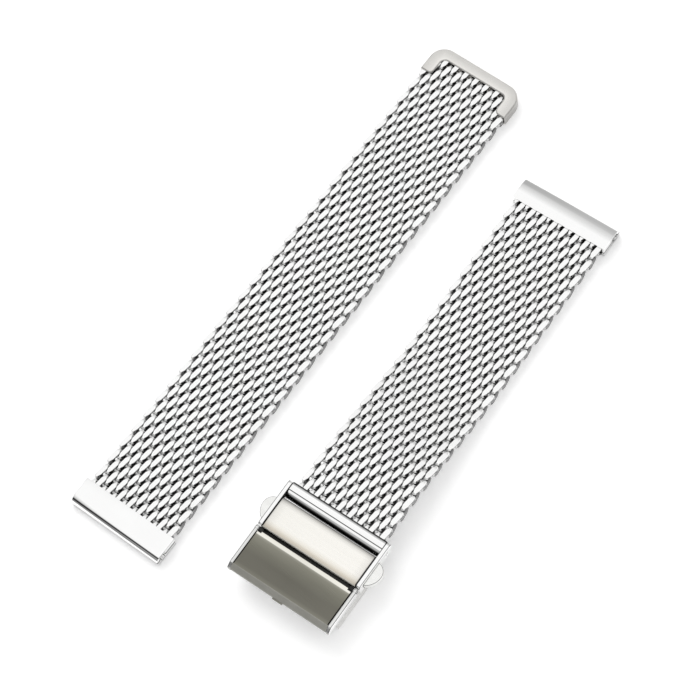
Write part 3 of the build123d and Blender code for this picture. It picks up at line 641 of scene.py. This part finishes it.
def dress(node_name, finish, width, segments=2):
    """A copy of a solid with merged facets and edges broken to a width in millimetres."""
    piece = bpy.data.objects.new(node_name + "_dressed", nodes[node_name].data.copy())
    bpy.context.collection.objects.link(piece)
    pick(piece)
    bpy.ops.object.mode_set(mode="EDIT")
    bpy.ops.mesh.select_all(action="SELECT")
    bpy.ops.mesh.remove_doubles(threshold=MERGE_DISTANCE)
    bpy.ops.mesh.dissolve_limited(angle_limit=FLAT_ANGLE)
    bpy.ops.object.mode_set(mode="OBJECT")
    if piece.data.has_custom_normals:
        bpy.ops.mesh.customdata_custom_splitnormals_clear()
    soften = piece.modifiers.new("broken_edges", "BEVEL")
    soften.width = width * MM
    soften.segments = segments
    soften.limit_method = "ANGLE"
    soften.angle_limit = EDGE_ANGLE
    bpy.ops.object.modifier_apply(modifier=soften.name)
    bpy.ops.object.shade_smooth_by_angle(angle=SMOOTH_ANGLE)
    piece.data.materials.clear()
    piece.data.materials.append(finish)
    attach(piece, BODY_OF[node_name])
    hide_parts(node_name)
    return piece


print("solids that can be dressed:", len(BODY_OF))

# %% End pieces and cap
long_end = dress("long_end_piece", folded, width=0.12)
short_end = dress("short_end_piece", folded_away, width=0.12)
cap = dress("tip_cap", satin, width=0.18, segments=3)
for piece in (long_end, short_end, cap):
    print(f"{piece.name}: {len(piece.data.polygons)} faces")

# %% [markdown]
# The pocket for the mesh comes out through the cap's round corners as a narrow slit. A curved
# sliver of the same steel, a hundredth of a millimetre below the surface, closes each of them.
# It is drawn out round the cap's turn in seven rings of four corners. A tube of rings is also how
# the wire of the mesh is made further on, so the two steps that both need come first.

# %% Tubes made of rings
def tube(mesh, rings):
    """Walls between rings of corners, and an end face on the first and the last."""
    walls = []
    for first, second in zip(rings, rings[1:]):
        for i in range(len(first)):
            j = (i + 1) % len(first)
            walls.append(mesh.faces.new((first[i], first[j], second[j], second[i])))
    mesh.faces.new(reversed(rings[0]))
    mesh.faces.new(rings[-1])
    return walls


def mesh_data(mesh, name):
    """Turns its faces outwards and makes a mesh in Blender's own store of it."""
    bmesh.ops.recalc_face_normals(mesh, faces=mesh.faces)
    data = bpy.data.meshes.new(name)
    mesh.to_mesh(data)
    mesh.free()
    return data


print("tube helpers:", tube.__name__, mesh_data.__name__)

# %% Cap corners
CAP_TURN_CENTRE = (7.3, 119.2)
SLIVER = [(3.05, 0.3), (3.39, 0.3), (3.39, 2.9), (3.05, 2.9)]
SLIVER_TURNS = [17 + 3.2 * step for step in range(7)]


def close_corner(name, side):
    mesh = bmesh.new()
    rings = []
    for turn in SLIVER_TURNS:
        c, s = cos(radians(turn)), sin(radians(turn))
        rings.append([mesh.verts.new(long_point(side * (CAP_TURN_CENTRE[0] + reach * c),
                                                CAP_TURN_CENTRE[1] + reach * s, level))
                      for reach, level in SLIVER])
    tube(mesh, rings)
    piece = bpy.data.objects.new(name, mesh_data(mesh, name))
    bpy.context.collection.objects.link(piece)
    pick(piece)
    bpy.ops.object.shade_smooth_by_angle(angle=SMOOTH_ANGLE)
    piece.data.materials.append(satin)
    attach(piece, "long_tip")
    print(f"{name}: {len(piece.data.polygons)} faces")


close_corner("cap_corner_right", 1)
close_corner("cap_corner_left", -1)

# %% [markdown]
# On the clasp a face gets its finish by where it lies and which way it faces. In the tests, p is
# its middle in millimetres from the clasp's end, and n its direction, whose z is near 1 on a
# face that looks up.

# %% Painting faces
SHORT_BACK = SHORT.inverted()


def paint(piece, finish, where):
    """Gives a finish to the faces whose middle and normal, in the short half's frame, pass a test."""
    piece.data.materials.append(finish)
    slot, count = len(piece.data.materials) - 1, 0
    for face in piece.data.polygons:
        if where(SHORT_BACK @ face.center, SHORT_BACK.to_3x3().normalized() @ face.normal):
            face.material_index = slot
            count += 1
    print(f"{piece.name}: {count} faces of {finish.name}")


print("places on the clasp are measured from", tuple(round(v, 4) for v in SHORT.to_translation()))

# %% Clasp
FERRULE_SIDE, WALL_SIDE, CHEEK_SIDE, EAR_SIDE, FLANGE_SIDE = 10.9, 11.0, 11.1, 11.3, 11.33
DECK_LEVEL, WALL_LEVEL, CHEEK_LEVEL = 4.9, 6.0, 6.4
LIP_END, HINGE_END, DECK_END = 1.15, 9.3, 21

ferrule = dress("ferrule", ferrule_steel, width=0.12)
paint(ferrule, seam_shade, lambda p, n: abs(n.x) > 0.7 and abs(p.x) > FERRULE_SIDE)
paint(ferrule, polished, lambda p, n: n.z < -0.2)
cover = dress("clasp_cover", polished, width=0.14)
paint(cover, cheek_steel, lambda p, n: n.z > 0.1 and abs(p.x) > CHEEK_SIDE and p.z > CHEEK_LEVEL)
paint(cover, deck_steel,
      lambda p, n: n.z > 0.5 and abs(p.x) < CHEEK_SIDE and p.z > DECK_LEVEL and p.y < DECK_END)
paint(cover, seam_shade,
      lambda p, n: n.z < 0.5 and WALL_SIDE < abs(p.x) < EAR_SIDE and p.z > WALL_LEVEL)
panel = dress("cover_panel", panel_steel, width=0.14)
# Painted light: the panel's front face gets the lighter, nearly matt finish
paint(panel, step_steel, lambda p, n: n.y < -0.5)
flip_lock = dress("flip_lock", flip_steel, width=0.12)
paint(flip_lock, flange_steel, lambda p, n: n.z > 0.1 and abs(p.x) > FLANGE_SIDE)
paint(flip_lock, polished,
      lambda p, n: n.z < 0.1 or (n.z < 0.8 and abs(p.x) < EAR_SIDE and p.y > HINGE_END))
# Painted shade: the turned-down lip gets the grey, half-matt finish
paint(flip_lock, shaded_lip_steel, lambda p, n: n.y < -0.2 and abs(p.x) < FLANGE_SIDE and p.y < LIP_END)

# %% Buttons
COVER_SIDE = 12.0
for side in ("right", "left"):
    button = dress(f"button_{side}", button_steel, width=0.2, segments=3)
    # Painted shade: the bevels round each button's outer side get the dark outline finish
    paint(button, outline_steel, lambda p, n: 0.1 < n.z < 0.98 and abs(p.x) > COVER_SIDE)

# %% [markdown]
# The mesh is woven from coils. A machine winds flat wire into a long flattened spiral, screws it
# through the loops of the spiral before it, and goes on, about a hundred times for one band.
# A bevelled curve could be such a wire, but it would have one width from end to end. The faces
# of the real mesh are rolled flat, so a run's flat is widest in its middle and narrows to the
# loops, which makes the long grains, and each run leans a little, which gives them their slant.
# So the wire is drawn as rings of six points along its path, each ring with its own widths.
# Half a turn is enough to set down: over the top and down the end loop. The same half turned
# over goes back underneath.

# %% Path of the wire
MESH_HALF_WIDTH = 10.4
FIRST_RUN = 0.65
TURN_PITCH = 2.6
RUNS = 16
WIRE_HALF_THICKNESS = 0.36
WIRE_SHOULDER = 0.08
FOOT_SHARE = 0.6
# x, y and z of the path, how far the wire has turned over in degrees, and half the width of its
# flat and of the whole wire
TOP_RUN = [(-0.17, -1.48, 0.84, 0, 0.22, 0.44), (-0.10, -0.80, 0.84, 0, 0.48, 0.60),
           (0.10, 0.80, 0.84, 0, 0.48, 0.60), (0.17, 1.48, 0.84, 0, 0.22, 0.44)]
END_LOOP = [(0.14, 1.55, 0.68, -38, 0.28, 0.48), (0.65, 1.56, 0.0, -90, 0.12, 0.36),
            (1.16, 1.55, -0.68, -142, 0.28, 0.48)]
LAST_LOOP = [(0.22, 1.54, 0.70, -38, 0.12, 0.36), (0.22, 1.55, 0.0, -90, 0.12, 0.36),
             (0.22, 1.54, -0.30, -100, 0.08, 0.30)]
print("a run is", round(TOP_RUN[-1][1] - TOP_RUN[0][1], 2), "mm long")


# %% Rings along the path
def ring_at(x, y, z, angle, flat, wide):
    """The wire's outline at a point of its path, turned over about the line across the band."""
    c, s = cos(radians(angle)), sin(radians(angle))
    top, foot = WIRE_HALF_THICKNESS, FOOT_SHARE * wide
    profile = [(-flat, top), (flat, top), (wide, WIRE_SHOULDER), (foot, -top), (-foot, -top),
               (-wide, WIRE_SHOULDER)]
    return [Vector((x + px, y - pz * s, z + pz * c)) for px, pz in profile]


def half_turn(points, number, top):
    """Points of run or loop number, the ones underneath being the ones on top turned over."""
    place = -MESH_HALF_WIDTH + FIRST_RUN + number * TURN_PITCH / 2
    if top:
        return [(place + x, y, z, angle, flat, wide) for x, y, z, angle, flat, wide in points]
    return [(place + x, -y, -z, angle - 180, flat, wide) for x, y, z, angle, flat, wide in points]


def wire_path(first_top):
    """The whole path across the band. At the edges the wire is tucked in."""
    tuck = [(-x, -y, z, -angle, flat, wide) for x, y, z, angle, flat, wide in reversed(LAST_LOOP)]
    path = half_turn(tuck, 0, first_top)
    for number in range(RUNS):
        top = first_top == (number % 2 == 0)
        path += half_turn(TOP_RUN, number, top)
        path += half_turn(END_LOOP if number < RUNS - 1 else LAST_LOOP, number, top)
    return path


print("rings in one coil:", len(wire_path(True)))

# %% Depth in the weave
# Heights and distances from the coil's middle in millimetres
CREST, DEPTH_RANGE, SIDE_RANGE = 1.19, 0.9, 0.9
LIP_START, LIP_RANGE = 1.5, 0.25
# How much of the depth counts at the band's edges, where light gets in, and how much an end loses
EDGE_SHARE, LIP_LOSS = 0.45, 0.72
SHOULDER_END, SHOULDER_LOW, SHOULDER_HIGH, SHOULDER_DEPTH = 1.49, 0.85, 1.0, 0.60


def clamped(value):
    return min(1.0, max(0.0, value))


def store_depth(mesh, depth, lip):
    """Writes on each corner how much painted shade its depth in the weave gives, and how far round the
    wire's end it lies.
    """
    for corner in mesh.verts:
        across, along, level = (abs(v) for v in corner.co)
        inside = min(1.0, (MESH_HALF_WIDTH - across) / SIDE_RANGE)
        corner[lip] = clamped((along - LIP_START) / LIP_RANGE)
        openness = (EDGE_SHARE + (1.0 - EDGE_SHARE) * inside) * (1.0 - LIP_LOSS * corner[lip])
        corner[depth] = clamped((CREST - level) / DEPTH_RANGE) * openness
        if along < SHOULDER_END and SHOULDER_LOW < level < SHOULDER_HIGH:
            # The shoulder below the flat gets painted shade, which draws the grain's dark outline
            corner[depth] = max(corner[depth], SHOULDER_DEPTH)


print("depth counts below", CREST, "mm from the middle")


# %% One coil
def weave_coil(name, first_top):
    """A whole coil in millimetres about its own middle."""
    mesh = bmesh.new()
    depth = mesh.verts.layers.float.new("depth")
    lip = mesh.verts.layers.float.new("lip")
    rings = [[mesh.verts.new(corner) for corner in ring_at(*point)] for point in wire_path(first_top)]
    for face in tube(mesh, rings):
        face.smooth = True
    for first, second in zip(rings, rings[1:]):
        # The edges of the flat stay crisp
        for i in (0, 1):
            mesh.edges.get((first[i], second[i])).smooth = False
    store_depth(mesh, depth, lip)
    return mesh_data(mesh, name)


coil_even = weave_coil("coil_even", True)
coil_odd = weave_coil("coil_odd", False)
print("faces of one coil:", len(coil_even.polygons))

# %% [markdown]
# Coils are laid side by side, every second one half a turn along. The long half lies flat. The
# short half comes down from the clasp in a soft curve.

# %% Lines that the coils follow
COIL_PITCH = 1.92
LONG_COILS = (6,) * 10
# The short half is counted from the clasp, with the slope of each length in degrees
SHORT_COILS = (6, 6, 6, 6, 7, 8)
SLOPES = (0.0, 9.0, 9.0, 1.471, 0.0, 0.0)
END_DEPTH = 5.7
MESH_LEVEL = 1.6
CLASP_LENGTH = 21.0
CLASP_LEVEL = 5.5


def slope_at(run):
    """How steeply the short half's mesh falls after so much mesh from the clasp, in degrees."""
    spread, edge, slope = 2 * COIL_PITCH, 0.0, SLOPES[0]
    for count, before, after in zip(SHORT_COILS, SLOPES, SLOPES[1:]):
        edge += count * COIL_PITCH
        slope += (after - before) * clamped((run - edge + spread) / (2 * spread))
    return slope


def short_line():
    """Place, level and slope of every coil of the short half, from the clasp to the end piece."""
    slopes = [slope_at((i + 0.5) * COIL_PITCH) for i in range(sum(SHORT_COILS))]
    drop = sum(COIL_PITCH * sin(radians(slope)) for slope in slopes)
    factor = (CLASP_LEVEL - MESH_LEVEL) / drop
    reach, level, line = CLASP_LENGTH, CLASP_LEVEL, []
    for slope in slopes:
        slope *= factor
        dy, dz = COIL_PITCH * cos(radians(slope)), COIL_PITCH * sin(radians(slope))
        line.append((reach + dy / 2, level - dz / 2, slope))
        reach, level = reach + dy, level - dz
    # One more coil in each fitting fills the gaps between the last loops
    in_ferrule = (line[0][0] - COIL_PITCH, CLASP_LEVEL, 0.0)
    in_end_piece = (line[-1][0] + COIL_PITCH, MESH_LEVEL, 0.0)
    return [in_ferrule, *line, in_end_piece]


long_line = [(END_DEPTH + (i - 0.5) * COIL_PITCH, MESH_LEVEL, 0.0) for i in range(sum(LONG_COILS) + 1)]
curve_line = short_line()
print("short half ends at", [round(v, 3) for v in curve_line[-1]])

# %% A coil in its place
# Where the fittings hold the ends of each half's mesh, and how it narrows in the cap's corners
LONG_HELD = (END_DEPTH - 1.75, 120.85)
SHORT_HELD = (19.95, curve_line[-2][0] + COIL_PITCH / 2 + 1.7)
CAP_NARROWS, CAP_HALF_WIDTH, CAP_TAPER = CAP_TURN_CENTRE[1], 10.3, 0.4


def one_coil(name, line, index, half):
    """Coil number index of a line, cut off where a fitting holds it."""
    reach, level, slope = line[index]
    data = (coil_odd if index % 2 else coil_even).copy()
    data.transform(Matrix.Translation((0, reach, level)) @ Matrix.Rotation(radians(-slope), 4, "X"))
    start, end = LONG_HELD if half == LONG else SHORT_HELD
    for corner in data.vertices:
        corner.co.y = min(end, max(start, corner.co.y))
        if half == LONG and corner.co.y > CAP_NARROWS:
            side = CAP_HALF_WIDTH - CAP_TAPER * (corner.co.y - CAP_NARROWS)
            corner.co.x = min(side, max(-side, corner.co.x))
    data.transform(half)
    coil = bpy.data.objects.new(name, data)
    bpy.context.collection.objects.link(coil)
    return coil


print("held from", round(LONG_HELD[0], 2), "to", LONG_HELD[1], "mm along the long half")


# %% Pieces of weave
def weave(name, line, first, last, half):
    """Coils first to last of a line, joined into one piece."""
    pick(*[one_coil(name, line, index, half) for index in range(first, last)])
    bpy.ops.object.join()
    piece = bpy.context.object
    piece.name = name
    piece.data.materials.clear()
    piece.data.materials.append(wire)
    return piece


def spans(counts, line):
    """First and last coil of each piece, from middle to middle of the lengths."""
    edges, total = [0], 1
    for count in counts:
        edges.append(total + count // 2)
        total += count
    return list(zip(edges, edges[1:] + [len(line)]))


print("spans of the long half:", spans(LONG_COILS, long_line))

# %% Both halves
def hang(prefix, line, counts, half, bodies, lengths):
    """Weaves one half. bodies are those that its lengths of mesh ride on, in the line's order, but
    only the first piece is attached to the first and the last piece to the last; the pieces between stay
    fixed. lengths are the solids that its pieces stand for."""
    for k, (first, last) in enumerate(spans(counts, line)):
        piece = weave(f"{prefix}_{k}", line, first, last, half)
        if k == 0:
            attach(piece, bodies[0])
        elif k == len(counts):
            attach(piece, bodies[-1])
        else:
            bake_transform(piece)
        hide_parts(lengths[k])
        print(f"{piece.name}: {last - first} coils for {lengths[k]}")


# A half has one piece of weave more than lengths, so one length has two pieces
hang("long_weave", long_line, LONG_COILS, LONG,
     ["lug_ends", *(f"long_mesh_{k}" for k in range(2, 10)), "long_tip"],
     [f"long_mesh_{k}" for k in (1, 2, 3, 4, 5, 6, 7, 8, 9, 9, 10)])
hang("short_weave", curve_line, SHORT_COILS, SHORT,
     ["ferrule", *(f"short_mesh_{k}" for k in (5, 4, 3, 2)), "lug_ends"],
     [f"short_mesh_{k}" for k in (6, 5, 4, 3, 2, 1, 1)])
